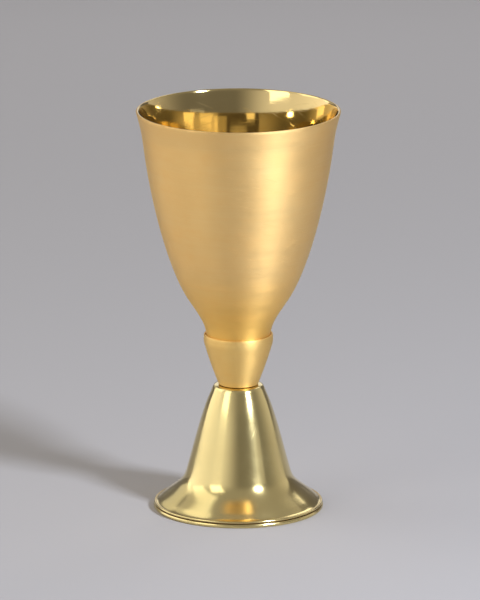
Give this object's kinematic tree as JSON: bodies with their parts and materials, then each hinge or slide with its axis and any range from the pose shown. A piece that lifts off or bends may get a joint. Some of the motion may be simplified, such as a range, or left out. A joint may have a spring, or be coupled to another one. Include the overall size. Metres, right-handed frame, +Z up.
{
  "type": "goblet",
  "caption": "Gold-coloured metal goblet: deep tapering bowl with flared lip, inverted-cone collar, narrow waist and hollow cone foot swept out to a base ring.",
  "frame": {"origin": "centre of the foot ring's underside, on the surface the goblet stands on", "axes": "+Z up along the goblet's axis of revolution; X and Y are equal, because every piece but the nut is round"},
  "size_m": [0.08, 0.08, 0.1602],
  "materials": {
    "satin_gold": "gilt, satin, lathe brushed",
    "polished_gold": "gilt, polished",
    "raw_brass": "turned, bare",
    "plated_steel": "zinc plated"
  },
  "bodies": {
    "root": {"bowl": "satin_gold", "calyx": "satin_gold", "foot": "polished_gold", "foot_ring": "polished_gold", "bowl_boss": "raw_brass", "tie_rod": "plated_steel", "washer": "plated_steel", "nut": "plated_steel"}
  },
  "joints": []
}
